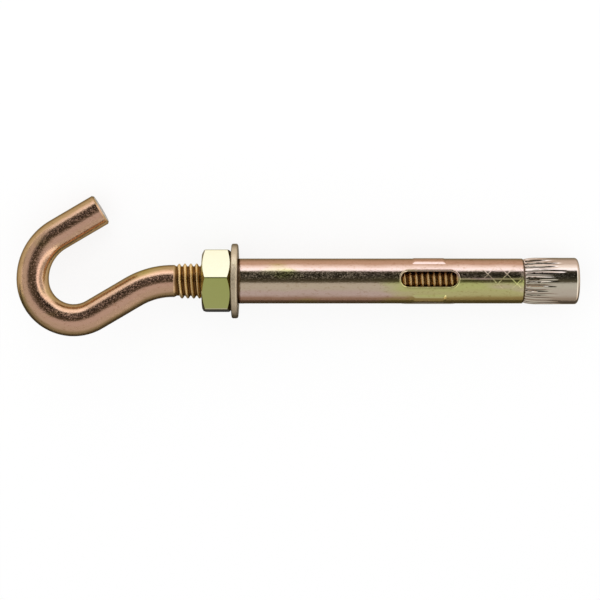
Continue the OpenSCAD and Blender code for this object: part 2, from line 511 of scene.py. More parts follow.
class PlatingGroups:
    """The node groups that the plated finishes share."""

    # The side and rim steps darken the plating towards grazing slants: painted shade along the edges.
    FILM_STEPS = (("Tilt", 0.03, 0.13), ("Side", 0.17, 0.37), ("RimShade", 0.4, 0.85))
    FILM_DRIFT = Mottle((0.12, 0.3, 0.3))
    DRIFT_SLANT = 0.16
    BLOOM = Mottle((0.07, 0.2, 0.2), (3.6, 2.1, 4.4), 2.0)
    BLOOM_STEP = (0.56, 0.78)
    BLOOM_RUN = (20.0, 46.0)
    BLOOM_SIDE = (2.4, -0.4)
    BLOOM_GAIN = 0.34
    ROSE = srgb(255, 240, 238)
    FLECKS = Mottle((1.2, 2.4, 2.4), (1.7, 9.2, 3.3), 5.0, 0.7)
    FLECK_STEP = (0.52, 0.75)
    FLECK = srgb(214, 200, 180)
    LINES = Mottle((0.35, 7.0, 7.0), rough=0.6)
    PITS = Mottle((3.6, 3.6, 3.6), (5.0, 1.0, 2.0), rough=0.6)
    WAVES = Mottle((0.5, 0.9, 0.9), (2.0, 8.0, 1.0), 2.0)
    WAVE_HEIGHT = 0.5
    UNEVEN = 0.12
    SPECKS = Mottle((2.7, 2.7, 2.7), (7.0, 3.0, 6.0), 2.0, 0.6)
    SPECK_STEP = (0.5, 0.62)
    SPECK_DULL = 0.085

    def __init__(self, axes: AnchorAxes) -> None:
        """Build the groups once.

        Args:
            axes: The anchor's own axes, which patterns follow.
        """
        self.places = self._places(axes)
        self.film_and_edge_shade = self._film_and_edge_shade()
        self.grain = self._grain()

    @staticmethod
    def _places(axes: AnchorAxes) -> bpy.types.NodeTree:
        """Places on the anchor's own axes in millimetres, and the angle around the shank.

        Args:
            axes: The anchor's own axes.

        Returns:
            The group.
        """
        sheet, _, out = new_group("shank_places", (), (
            ("Place", Socket.VECTOR), ("Along", Socket.FLOAT), ("Around", Socket.FLOAT)))
        place, split = sheet.on_axes(axes, 1 / MM)
        sheet.feed(out.inputs["Place"], place)
        sheet.feed(out.inputs["Along"], split.outputs["X"])
        sheet.feed(out.inputs["Around"], sheet.math("ARCTAN2", split.outputs["Y"], split.outputs["Z"]))
        return sheet.tree

    @classmethod
    def _film_and_edge_shade(cls) -> bpy.types.NodeTree:
        """Colours of a thin plating layer, which change with the view's slant and drift over the surface;
        the darker side and rim colours towards grazing slants are painted shade along the edges.

        Returns:
            The group.
        """
        sheet, into, out = new_group("plating_film_and_edge_shade", (
            ("Place", Socket.VECTOR), ("Slant", Socket.FLOAT), ("Face", Socket.COLOUR),
            ("Tilt", Socket.COLOUR), ("Side", Socket.COLOUR), ("RimShade", Socket.COLOUR),
            ("Bloom", Socket.COLOUR), ("Shift", Socket.FLOAT), ("Drift", Socket.FLOAT)),
            (("Colour", Socket.COLOUR),))
        place, drift = into.outputs["Place"], into.outputs["Drift"]
        wander = sheet.math("SUBTRACT", cls.FILM_DRIFT.read(sheet, place), 0.5)
        slant = sheet.math("ADD", into.outputs["Slant"], into.outputs["Shift"])
        slant = sheet.math("ADD", slant, sheet.times(sheet.times(wander, cls.DRIFT_SLANT), drift))
        colour = into.outputs["Face"]
        for label, low, high in cls.FILM_STEPS:
            colour = sheet.blend(sheet.ramp(slant, low, high), colour, into.outputs[label])
        split = sheet.add("ShaderNodeSeparateXYZ")
        sheet.feed(split.inputs[0], place)
        underside = sheet.times(sheet.ramp(split.outputs["X"], *cls.BLOOM_RUN),
                                sheet.ramp(split.outputs["Y"], *cls.BLOOM_SIDE))
        bloom = sheet.math("ADD", cls.BLOOM.read(sheet, place), sheet.times(underside, cls.BLOOM_GAIN))
        tint = sheet.blend(sheet.ramp(bloom, *cls.BLOOM_STEP), cls.ROSE, into.outputs["Bloom"])
        dark = sheet.ramp(cls.FLECKS.read(sheet, place), *cls.FLECK_STEP)
        for layer in (tint, sheet.blend(dark, grey(1.0), cls.FLECK)):
            colour = sheet.blend(drift, colour, layer, "MULTIPLY")
        sheet.feed(out.inputs["Colour"], colour)
        return sheet.tree

    @classmethod
    def _grain(cls) -> bpy.types.NodeTree:
        """Height and roughness of drawn metal under plating: fine lines, pits and a soft unevenness.

        Returns:
            The group.
        """
        sheet, into, out = new_group("drawn_grain", (
            ("Place", Socket.VECTOR), ("Lines", Socket.FLOAT), ("Pits", Socket.FLOAT),
            ("Dull", Socket.FLOAT)), (("Height", Socket.FLOAT), ("Roughness", Socket.FLOAT)))
        place = into.outputs["Place"]
        pits, waves = cls.PITS.read(sheet, place), cls.WAVES.read(sheet, place)
        height = sheet.math("ADD", sheet.times(cls.LINES.read(sheet, place), into.outputs["Lines"]),
                            sheet.times(pits, into.outputs["Pits"]))
        sheet.feed(out.inputs["Height"], sheet.math("ADD", height, sheet.times(waves, cls.WAVE_HEIGHT)))
        uneven = sheet.math("SUBTRACT", sheet.math("ADD", pits, waves), 1.0)
        smooth = sheet.math("ADD", into.outputs["Dull"], sheet.times(uneven, cls.UNEVEN))
        spots = sheet.times(sheet.ramp(cls.SPECKS.read(sheet, place), *cls.SPECK_STEP),
                            sheet.times(into.outputs["Pits"], cls.SPECK_DULL))
        sheet.feed(out.inputs["Roughness"], sheet.math("ADD", smooth, spots, clamp=True))
        return sheet.tree


EDGE_TINT = srgb(196, 188, 172)
BUMP_MM = 0.05


@dataclass(frozen=True)
class Plating:
    """One plated finish: the plating's colours from face-on to the rim, whose darker side and rim colours
    are painted shade along the edges, and the metal's grain.
    """

    name: str
    face: Screen
    tilt: Screen
    # The side and rim colours darken the plating towards grazing slants: painted shade along the edges.
    side: Screen
    rim: Screen
    dull: float
    lines: float
    pits: float
    bump: float
    bloom: Screen = (246, 255, 214)
    shift: float = 0.0
    drift: float = 1.0
    scored_with_joint_shade: bool = False
    threaded_with_painted_shade: bool = False

    THREAD_RUN = (-13.9, -13.1)
    THREAD_RISE = (3.15, 3.62)
    THREAD_DULL = 0.16
    # Painted shade in the thread's roots and painted highlight on its crests.
    ROOT_SHADE = srgb(122, 86, 46)
    CREST_HIGHLIGHT = srgb(242, 206, 148)
    # Painted shade darkening the sleeve's joints with the washer and the cone nut.
    JOINT_SHADE = srgb(70, 56, 40)
    JOINT_SHADE_SHARE = 0.85
    JOINT_SHADE_NEAR = (0.1, 0.42)
    JOINT_SHADE_FAR = (60.05, 60.3)
    SLEEVE_RADIUS = 4.8
    SCORE_WAYS = (("ADD", 2.54), ("SUBTRACT", 1.28))
    SCORE_HALF_PITCH = 2.02
    SCORE_WIDTH = (0.02, 0.12)
    SCORE_FROM = (51.2, 52.4)
    SCORE_TO = (58.6, 60.0)
    SCORE_SIDE = (-2.6, -0.6)
    SCORE_PATCHES = Mottle((0.5, 0.5, 0.5), detail=2.0)
    SCORE_PATCH_STEP = (0.2, 0.42)
    SCORE_HEIGHT = 3.6
    SCORE_DULL = 0.16

    def build(self, groups: PlatingGroups) -> bpy.types.Material:
        """Make the material.

        Args:
            groups: The shared node groups.

        Returns:
            The finished material.
        """
        material, sheet = new_material(self.name)
        places = sheet.add("ShaderNodeGroup", node_tree=groups.places)
        colour = self._film_and_edge_shade(sheet, groups, places)
        grain = sheet.add("ShaderNodeGroup", node_tree=groups.grain)
        sheet.feed(grain.inputs["Place"], places.outputs["Place"])
        for label, value in (("Lines", self.lines), ("Pits", self.pits), ("Dull", self.dull)):
            grain.inputs[label].default_value = value
        height, rough = grain.outputs["Height"], grain.outputs["Roughness"]
        # On the sleeve: scoring lines, and painted shade in the joints at both ends.
        if self.scored_with_joint_shade:
            marks = self._scoring(sheet, places)
            colour = sheet.blend(self._joint_shade(sheet, places), colour, self.JOINT_SHADE)
            height = sheet.math("ADD", height, sheet.times(marks, self.SCORE_HEIGHT))
            rough = sheet.math("ADD", rough, sheet.times(marks, self.SCORE_DULL))
        # The thread gets painted shade in its roots, painted highlight on its crests, and duller metal.
        if self.threaded_with_painted_shade:
            wound = sheet.ramp(places.outputs["Along"], *self.THREAD_RUN)
            colour = sheet.blend(wound, colour, self._thread_painted_shading(sheet, places))
            rough = sheet.math("ADD", rough, sheet.times(wound, self.THREAD_DULL))
        bump = sheet.add("ShaderNodeBump")
        bump.inputs["Strength"].default_value = self.bump
        bump.inputs["Distance"].default_value = BUMP_MM * MM
        sheet.feed(bump.inputs["Height"], height)
        shader = sheet.add("ShaderNodeBsdfPrincipled")
        shader.inputs["Metallic"].default_value = 1.0
        shader.inputs["Specular Tint"].default_value = EDGE_TINT
        sheet.feed(shader.inputs["Base Color"], colour)
        sheet.feed(shader.inputs["Roughness"], rough)
        sheet.feed(shader.inputs["Normal"], bump.outputs["Normal"])
        show(sheet, shader.outputs["BSDF"])
        return material

    def _film_and_edge_shade(self, sheet: NodeSheet, groups: PlatingGroups, places: bpy.types.Node) -> bpy.types.NodeSocket:
        """Place the plating colours of this finish, with their painted shade along the edges.

        Args:
            sheet: The material's sheet.
            groups: The shared node groups.
            places: The node that gives the places on the anchor's axes.

        Returns:
            The film's colour.
        """
        film_and_edge_shade = sheet.add("ShaderNodeGroup", node_tree=groups.film_and_edge_shade)
        sheet.feed(film_and_edge_shade.inputs["Place"], places.outputs["Place"])
        view = sheet.add("ShaderNodeLayerWeight")
        view.inputs["Blend"].default_value = 0.5
        sheet.feed(film_and_edge_shade.inputs["Slant"], view.outputs["Facing"])
        for label, colour in (("Face", self.face), ("Tilt", self.tilt), ("Side", self.side),
                              ("RimShade", self.rim), ("Bloom", self.bloom)):
            film_and_edge_shade.inputs[label].default_value = srgb(*colour)
        film_and_edge_shade.inputs["Shift"].default_value = self.shift
        film_and_edge_shade.inputs["Drift"].default_value = self.drift
        return film_and_edge_shade.outputs["Colour"]

    def _thread_painted_shading(self, sheet: NodeSheet, places: bpy.types.Node) -> bpy.types.NodeSocket:
        """Painted shade in the thread's roots and painted highlight on its crests, by distance from the
        axis.

        Args:
            sheet: The material's sheet.
            places: The node that gives the places on the anchor's axes.

        Returns:
            The thread's colour.
        """
        split = sheet.add("ShaderNodeSeparateXYZ")
        sheet.feed(split.inputs[0], places.outputs["Place"])
        squares = [sheet.math("POWER", split.outputs[axis], 2.0) for axis in "YZ"]
        out = sheet.math("SQRT", sheet.math("ADD", *squares))
        return sheet.blend(sheet.ramp(out, *self.THREAD_RISE), self.ROOT_SHADE, self.CREST_HIGHLIGHT)

    def _joint_shade(self, sheet: NodeSheet, places: bpy.types.Node) -> bpy.types.NodeSocket:
        """Painted shade in the joints at the sleeve's two ends, where it meets the washer and the cone nut.

        Args:
            sheet: The material's sheet.
            places: The node that gives the places on the anchor's axes.

        Returns:
            The painted shade's mask.
        """
        run = places.outputs["Along"]
        near = sheet.math("SUBTRACT", 1.0, sheet.ramp(run, *self.JOINT_SHADE_NEAR))
        return sheet.times(sheet.math("MAXIMUM", near, sheet.ramp(run, *self.JOINT_SHADE_FAR)), self.JOINT_SHADE_SHARE)

    def _scoring(self, sheet: NodeSheet, places: bpy.types.Node) -> bpy.types.NodeSocket:
        """Shallow crossed lines around the sleeve near its far end.

        Args:
            sheet: The material's sheet.
            places: The node that gives the places on the anchor's axes.

        Returns:
            The lines' mask.
        """
        run = places.outputs["Along"]
        around = sheet.times(places.outputs["Around"], self.SLEEVE_RADIUS)
        marks = []
        for way, shift in self.SCORE_WAYS:
            slope = sheet.math("ADD", sheet.math(way, run, around), shift)
            phase = sheet.math("PINGPONG", slope, self.SCORE_HALF_PITCH)
            marks.append(sheet.math("SUBTRACT", 1.0, sheet.ramp(phase, *self.SCORE_WIDTH)))
        patches = self.SCORE_PATCHES.read(sheet, places.outputs["Place"])
        mask = sheet.math("MAXIMUM", *marks)
        for share in (sheet.ramp(patches, *self.SCORE_PATCH_STEP),
                      sheet.ramp(around, *self.SCORE_SIDE),
                      sheet.ramp(run, *self.SCORE_FROM),
                      sheet.math("SUBTRACT", 1.0, sheet.ramp(run, *self.SCORE_TO))):
            mask = sheet.times(mask, share)
        return mask


@dataclass
class Piece:
    """One piece of the anchor, with what it rides on, stands for and is dressed in."""

    axes: AnchorAxes
    body: Body
    node: str
    finish: bpy.types.Material

    def place(self, obj: bpy.types.Object, smooth: float = 35.0, flat: bool = False) -> bpy.types.Object:
        """Lay a finished mesh down as the anchor lies, dress it and hand it to its body.

        Args:
            obj: The mesh, in millimetres on the anchor's own axes.
            smooth: Edges sharper than this many degrees stay crisp.
            flat: Whether large faces keep their own normals up to their rounded edges.

        Returns:
            The same object.
        """
        obj.name = self.node + "_plated"
        obj.data.name = obj.name
        obj.data.transform(self.axes.to_row)
        choose(obj)
        bpy.ops.object.shade_smooth_by_angle(angle=math.radians(smooth))
        if flat:
            apply_modifier(obj, "WEIGHTED_NORMAL", keep_sharp=True)
        obj.data.materials.clear()
        obj.data.materials.append(self.finish)
        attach(obj, self.body.value)
        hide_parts(self.node)
        LOG.info("%s: %d faces", obj.name, len(obj.data.polygons))
        return obj


@dataclass
class HookBolt(Piece):
    """The bent rod and its threaded shank."""

    rod_d: float = 6.86
    thread_d: float = 7.5
    root_d: float = 6.3
    pitch: float = 1.25
    ridge: float = 1.2
    ridge_rise: tuple[float, ...] = (0.0, 0.2, 0.48, 0.75, 0.93, 1.0)
    ridge_foot: float = 0.1
    coil_steps: int = 40
    thread_from: float = -13.6
    first_turn: float = 0.1
    first_height: float = 0.45
    fade_lead: float = 0.2
    run_out: float = 0.6
    shank_end: float = 71.3
    end_chamfer: float = 0.6
    end_drop: float = 0.25
    start_drop: float = 0.02
    rod_sunk: float = 0.05
    bends: tuple[Triple, ...] = ((0.35, 30.4, 16.6), (9.6, -117.0, 8.7), (0.0, -63.0, 10.9))
    bend_step: float = 2.5
    tip_run: float = 10.7
    tip_chamfer: float = 0.35
    sides: int = 64

    def bent_rod(self) -> bpy.types.Object:
        """Draw the plain rod out of the thread and bend it into the hook.

        Each bend is a straight run, an angle in degrees and a radius.

        Returns:
            The rod as one closed mesh.
        """
        clear_selection()
        start_d = self.root_d - 2 * self.rod_sunk
        bpy.ops.mesh.primitive_circle_add(
            vertices=self.sides, radius=start_d / 2, fill_type="NOTHING",
            location=(self.thread_from + self.run_out, 0, 0), rotation=ALONG_SHANK)
        rod = settle()
        spot, heading = Vector((self.thread_from, 0, 0)), math.pi
        with editing(rod):
            self._draw(-self.run_out, 0.0)
            self._swell(spot, self.rod_d / start_d)
            for run, angle, radius in self.bends:
                ahead = Vector((math.cos(heading), math.sin(heading), 0))
                if run:
                    self._draw(ahead.x * run, ahead.y * run)
                    spot = spot + ahead * run
                turn = math.radians(angle)
                centre = spot + math.copysign(radius, angle) * Vector((-ahead.y, ahead.x, 0))
                steps = round(abs(angle) / self.bend_step)
                bpy.ops.mesh.spin(steps=steps, angle=-turn, center=centre, axis=(0, 0, 1))
                spot = centre + Matrix.Rotation(turn, 3, "Z") @ (spot - centre)
                heading += turn
            ahead = Vector((math.cos(heading), math.sin(heading), 0))
            for step in (self.tip_run - self.tip_chamfer, self.tip_chamfer):
                self._draw(ahead.x * step, ahead.y * step)
                spot = spot + ahead * step
            self._swell(spot, 1 - 2 * self.tip_chamfer / self.rod_d)
        close_up(rod)
        return rod

    @staticmethod
    def _draw(along: float, tipward: float) -> None:
        """Extrude the selected ring by a step in the hook's plane."""
        bpy.ops.mesh.extrude_region_move(TRANSFORM_OT_translate={"value": (along, tipward, 0)})

    @staticmethod
    def _swell(centre: Vector, factor: float) -> None:
        """Scale the selected ring about its centre."""
        bpy.ops.transform.resize(value=(factor, factor, factor), center_override=centre)

    def core(self) -> bpy.types.Object:
        """Turn the shank inside the thread, down to its chamfered end.

        Returns:
            The core as one closed mesh.
        """
        root, start, end = self.root_d / 2, self.thread_from, self.shank_end
        chamfer = end - self.end_chamfer
        rows = [(x, root) for x in spread(start, chamfer, ROW_MM)]
        section = [(start, 0.0), (start, root - self.start_drop), *rows, (chamfer, root),
                   (end, root - self.end_drop), (end, 0.0)]
        return turn_ring("core", section, self.sides)

    def thread(self) -> bpy.types.Object:
        """Wind the right-handed thread along the shank, with a run-out at the hook.

        Returns:
            The thread's ridge as one closed coil.
        """
        low, high = self.root_d / 2 - self.ridge_foot, self.thread_d / 2
        start, chamfer = self.thread_from + self.first_turn, self.shank_end - self.end_chamfer
        heights = (*self.ridge_rise, *self.ridge_rise[-2::-1])
        width = self.ridge / (len(heights) - 1)
        ridge = section_loop("thread", [(start + width * i, low + (high - low) * rise)
                                        for i, rise in enumerate(heights)])
        turns = int((self.shank_end - start - self.ridge) / self.pitch)
        apply_modifier(ridge, "SCREW", axis="X", screw_offset=self.pitch, iterations=turns,
                       steps=self.coil_steps, render_steps=self.coil_steps, use_merge_vertices=False)

        def lowered(point: Vector) -> Vector:
            """Lower the first turn into the rod and the last one into the chamfer.

            Args:
                point: A point of the even coil.

            Returns:
                Its place on the finished thread.
            """
            out = math.hypot(point.y, point.z)
            grown = smoothstep(start - self.fade_lead, start + self.pitch, point.x)
            rise = (out - low) * (self.first_height + (1 - self.first_height) * grown)
            limit = min(low + rise, max(low, high - max(0.0, point.x - chamfer)))
            return Vector((point.x, point.y * limit / out, point.z * limit / out))

        move_points(ridge, lowered)
        ridge.data.transform(Matrix.Rotation(math.pi, 4, "X"))
        close_up(ridge)
        return ridge

    def build(self) -> bpy.types.Object:
        """Make the whole bolt and dress it."""
        return self.place(join(self.bent_rod(), [self.core(), self.thread()]), smooth=28)


@dataclass
class HexNut(Piece):
    """The hexagon nut, chamfered at both ends."""

    flats: float = 12.7
    height: float = 6.2
    seat: float = -1.41
    turned: float = 4.65
    face_d: float = 11.9
    slope: float = 30.0
    bore: float = 7.6
    sink: float = 0.55
    over: float = 1.0
    corner_round: float = 0.26
    corner_steps: int = 4
    corner_angle: float = 50.0
    edge_round: float = 0.14
    edge_steps: int = 2
    edge_angle: float = 22.0
    cone_sides: int = 144
    drill_sides: int = 96

    @property
    def corner(self) -> float:
        """The distance of the hexagon's corners from the axis."""
        return self.flats / 2 / math.cos(math.pi / 6)

    @staticmethod
    def _break_edges(nut: bpy.types.Object, width: float, steps: int, angle: float) -> None:
        """Round the edges that turn by more than an angle in degrees."""
        apply_modifier(nut, "BEVEL", width=width, segments=steps, limit_method="ANGLE",
                       angle_limit=math.radians(angle))

    def bar(self) -> bpy.types.Object:
        """Draw the hexagon bar with rounded corners, turned as the nut lies.

        Returns:
            The bar, longer than the nut.
        """
        clear_selection()
        bpy.ops.mesh.primitive_cylinder_add(vertices=6, radius=self.corner, depth=2 * self.height,
                                            rotation=ALONG_SHANK)
        bar = settle()
        first = min((math.atan2(vertex.co.y, vertex.co.z) for vertex in bar.data.vertices), key=abs)
        bar.data.transform(Matrix.Rotation(first - math.radians(self.turned), 4, "X"))
        self._break_edges(bar, self.corner_round, self.corner_steps, self.corner_angle)
        return bar

    def cone(self) -> bpy.types.Object:
        """Turn the double cone that the hexagon's corners are cut down to.

        Returns:
            The closed cone, as high as the nut.
        """
        half, face, wide = self.height / 2, self.face_d / 2, self.corner + self.over
        rise = (wide - face) * math.tan(math.radians(self.slope))
        section = ((-half, 0.0), (-half, face), (rise - half, wide),
                   (half - rise, wide), (half, face), (half, 0.0))
        return turn_ring("cone", section, self.cone_sides)

    def drill(self) -> bpy.types.Object:
        """Turn the drill with a countersink at each end.

        Returns:
            The closed drill, longer than the nut.
        """
        half, hole = self.height / 2, self.bore / 2
        end, wide = half + self.over, hole + self.sink
        section = ((-end, 0.0), (-end, wide + self.over), (-half, wide), (self.sink - half, hole),
                   (half - self.sink, hole), (half, wide), (end, wide + self.over), (end, 0.0))
        return turn_ring("drill", section, self.drill_sides)

    def build(self) -> bpy.types.Object:
        """Cut the bar's corners with the cone, bore it and break its edges.

        Returns:
            The dressed nut.
        """
        nut = self.bar()
        cut_with(nut, self.cone(), "INTERSECT")
        cut_with(nut, self.drill())
        self._break_edges(nut, self.edge_round, self.edge_steps, self.edge_angle)
        nut.data.transform(Matrix.Translation((self.seat - self.height / 2, 0, 0)))
        close_up(nut)
        return self.place(nut, smooth=30, flat=True)


@dataclass
class Washer(Piece):
    """The punched washer, rounded where the punch drew the edge in."""

    outer: float = 15.89
    thick: float = 1.4
    bore: float = 8.4
    drawn: float = 0.42
    burr: float = 0.34
    sides: int = 128

    def build(self) -> bpy.types.Object:
        """Turn the washer's rounded section.

        Returns:
            The dressed washer.
        """
        rim, hole, burr = self.outer / 2, self.bore / 2, self.burr
        section = [*arc(-self.drawn, rim - self.drawn, self.drawn, 0, 90, 6),
                   *arc(burr - self.thick, rim - burr, burr, 90, 180, 5),
                   (-self.thick, (rim + hole) / 2),
                   *arc(burr - self.thick, hole + burr, burr, 180, 270, 4),
                   *arc(-burr, hole + burr, burr, 270, 360, 4),
                   (0.0, (rim + hole) / 2)]
        return self.place(turn_ring("washer", section, self.sides), smooth=40)


@dataclass
class Sleeve(Piece):
    """The rolled sleeve with its windows, slits, seam and pressed pads."""

    outer: float = 9.6
    wall: float = 0.7
    length: float = 60.4
    edge: float = 0.16
    sides: int = 160
    windows: int = 3
    seam: int = 1
    window_at: float = 34.3
    window_len: float = 12.2
    window_w: float = 3.6
    window_steps: int = 64
    turned: float = 4.7
    slit: float = 0.14
    over: float = 1.0
    lip: float = 0.28
    lip_off: float = 0.6
    lip_proud: float = 0.07
    slit_lip: float = 0.08
    slit_proud: float = 0.025
    slit_gap: float = 0.2
    pad_len: float = 7.5
    pad_w: float = 3.2
    pad_h: float = 0.22
    pad_corner: float = 0.6
    pad_flank: Point = (-0.9, 0.14)
    pad_reach: float = 0.5
    pad_sunk: float = 0.05
    pad_skirt: float = 0.3
    mouth_d: float = 8.8
    mouth: float = 0.5

    TORUS_TUBE = 0.25
    GRID_BORDER = 0.499

    @property
    def window_end(self) -> float:
        """Where the windows end along the shank."""
        return self.window_at + self.window_len

    def tube(self) -> bpy.types.Object:
        """Turn the plain tube with softened ends and a flared mouth for the cone nut.

        Returns:
            The closed tube.
        """
        out, edge, end = self.outer / 2, self.edge, self.length
        hole = out - self.wall
        rows = [*spread(0, self.window_at, ROW_MM), *spread(self.window_end, end, ROW_MM)]
        section = [*arc(edge, out - edge, edge, 180, 90, 4), *[(x, out) for x in rows],
                   *arc(end - edge, out - edge, edge, 90, 0, 4), (end, self.mouth_d / 2),
                   (end - self.mouth, hole), *[(x, hole) for x in reversed(rows)], (0.0, hole)]
        return turn_ring("tube", section, self.sides)

    def window_outline(self) -> list[Point]:
        """Draw a window: a slot with half-round ends.

        Returns:
            Its points, along the shank and across it.
        """
        half, outline = self.window_w / 2, []
        for index in range(self.window_steps):
            turn = 2 * math.pi * (index + 0.5) / self.window_steps
            end = self.window_end - half if math.cos(turn) > 0 else self.window_at + half
            outline.append((end + half * math.cos(turn), half * math.sin(turn)))
        return outline

    def slit_outline(self, start: float) -> list[Point]:
        """Draw a slit from a place along the shank out through the far end."""
        end, half = self.length + self.over, self.slit / 2
        return [(start, -half), (end, -half), (end, half), (start, half)]

    def punch(self, outline: Section, angle: float) -> bpy.types.Object:
        """A bar that reaches out from the axis and cuts the wall.

        Args:
            outline: The cut's points, along the shank and across it.
            angle: Its turn around the shank in degrees, from the viewer's side towards the tip.

        Returns:
            The cutting bar.
        """
        clear_selection()
        bpy.ops.mesh.primitive_circle_add(vertices=len(outline), radius=1, fill_type="NGON")
        bar = bpy.context.object
        for vertex, (along, across) in zip(bar.data.vertices, outline):
            vertex.co = (along, across, 0.0)
        with editing(bar):
            bpy.ops.mesh.extrude_region_move(TRANSFORM_OT_translate={"value": (0, 0, self.outer)})
        close_up(bar)
        bar.data.transform(Matrix.Rotation(-math.radians(angle), 4, "X"))
        return bar

    def rim(self, angle: float) -> bpy.types.Object:
        """Roll the lip of one window: a thin bead round its outline.

        Args:
            angle: The window's turn around the shank in degrees.

        Returns:
            The closed bead, sunk in the wall.
        """
        clear_selection()
        bpy.ops.mesh.primitive_torus_add(major_segments=96, minor_segments=12, major_radius=1,
                                         minor_radius=self.TORUS_TUBE)
        bead = bpy.context.object
        half, out, scale = self.window_w / 2, self.outer / 2, self.lip / self.TORUS_TUBE

        def rolled(point: Vector) -> Vector:
            """Move a point of a round torus to the window's lip.

            Args:
                point: The point on the torus.

            Returns:
                Its place on the lip.
            """
            ahead = math.hypot(point.x, point.y)
            off = half + self.lip_off * self.lip + scale * (ahead - 1)
            end = self.window_end - half if point.x >= 0 else self.window_at + half
            high = out + self.lip_proud - self.lip + scale * point.z
            across = math.asin(off * point.y / ahead / out)
            return around(end + off * point.x / ahead, high, math.radians(angle) + across)

        move_points(bead, rolled)
        close_up(bead)
        return bead

    def slit_lips(self, angle: float) -> list[bpy.types.Object]:
        """Roll the two lips of one slit, from its window to the far end.

        Args:
            angle: The slit's turn around the shank in degrees.

        Returns:
            The two thin bars, sunk in the wall beside the slit.
        """
        start = self.window_end + self.slit_gap
        run = self.length - self.slit_gap - start
        high = self.outer / 2 + self.slit_proud - self.slit_lip
        lips = []
        for side in (-1, 1):
            clear_selection()
            bpy.ops.mesh.primitive_cylinder_add(vertices=16, radius=self.slit_lip, depth=run,
                                                rotation=ALONG_SHANK)
            lip = settle()
            off = side * (self.slit + self.slit_lip) / 2
            lip.data.transform(Matrix.Translation((start + run / 2, off, high)))
            lip.data.transform(Matrix.Rotation(-math.radians(angle), 4, "X"))
            lips.append(lip)
        return lips

    def pad(self, angle: float) -> bpy.types.Object:
        """Press one pad: a low mound with soft shoulders that stands out of the wall.

        Args:
            angle: Its turn around the shank in degrees.

        Returns:
            The mound, closed underneath inside the wall.
        """
        clear_selection()
        bpy.ops.mesh.primitive_grid_add(x_subdivisions=80, y_subdivisions=40, size=1)
        mound = bpy.context.object
        span, width = self.pad_len + 2 * self.pad_reach, self.pad_w + 2 * self.pad_reach
        middle, out = self.window_at + self.window_len / 2, self.outer / 2

        def pressed(point: Vector) -> Vector:
            """Move a point of the flat grid to the rolled wall.

            Args:
                point: The point on the grid.

            Returns:
                Its place on the pad.
            """
            along, across = point.x * span, point.y * width
            beyond_x = abs(along) - self.pad_len / 2 + self.pad_corner
            beyond_y = abs(across) - self.pad_w / 2 + self.pad_corner
            past = math.hypot(max(0.0, beyond_x), max(0.0, beyond_y)) - self.pad_corner
            past += min(0.0, max(beyond_x, beyond_y))
            height = (self.pad_h + self.pad_sunk) * (1 - smoothstep(*self.pad_flank, past)) - self.pad_sunk
            if max(abs(point.x), abs(point.y)) > self.GRID_BORDER:
                height -= self.pad_skirt
            return around(middle + along, out + height, math.radians(angle) + across / out)

        move_points(mound, pressed)
        close_up(mound)
        return mound

    def build(self) -> bpy.types.Object:
        """Punch the windows, slits and seam out of the tube and add the pads and lips.

        Returns:
            The dressed sleeve.
        """
        tube = self.tube()
        turns = [self.turned - index * 360 / self.windows for index in range(self.windows)]
        for angle in turns:
            cut_with(tube, self.punch(self.window_outline(), angle))
        for index, angle in enumerate(turns):
            start = -self.over if index == self.seam else self.window_at + self.window_len / 2
            cut_with(tube, self.punch(self.slit_outline(start), angle))
        added = [self.pad(angle - 180 / self.windows) for angle in turns]
        added += [self.rim(angle) for angle in turns]
        added += [lip for angle in turns for lip in self.slit_lips(angle)]
        return self.place(join(tube, added), smooth=35)


